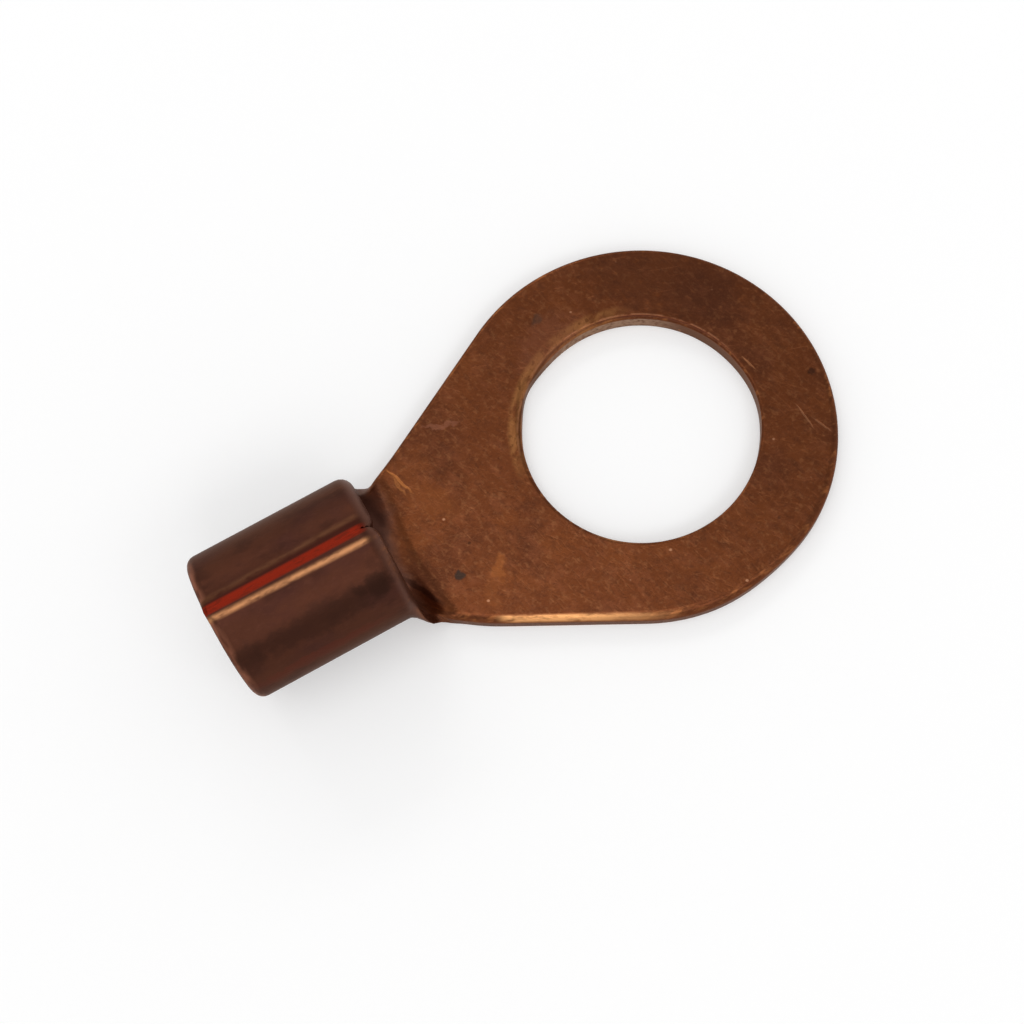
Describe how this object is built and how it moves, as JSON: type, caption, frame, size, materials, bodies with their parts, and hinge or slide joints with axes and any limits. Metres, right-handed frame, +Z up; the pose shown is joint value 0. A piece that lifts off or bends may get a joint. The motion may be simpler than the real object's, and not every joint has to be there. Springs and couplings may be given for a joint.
{
  "type": "copper cable lug",
  "caption": "Bare copper ring cable lug: a flat ring tongue with a stud hole, a stepped neck and a rolled wire barrel with an open seam.",
  "frame": {"origin": "centre of the stud hole, on the underside of the ring tongue", "axes": "+Z up out of the stud hole, on the side that the barrel stands on; the barrel lies towards -X with its mouth facing -X; the tip of the ring is at +X"},
  "size_m": [0.0462, 0.028, 0.0115],
  "materials": {
    "bare_copper": "bare annealed copper, handled and slightly tarnished, darker on the rolled barrel"
  },
  "bodies": {
    "root": {"cable_lug": "bare_copper"}
  },
  "joints": []
}
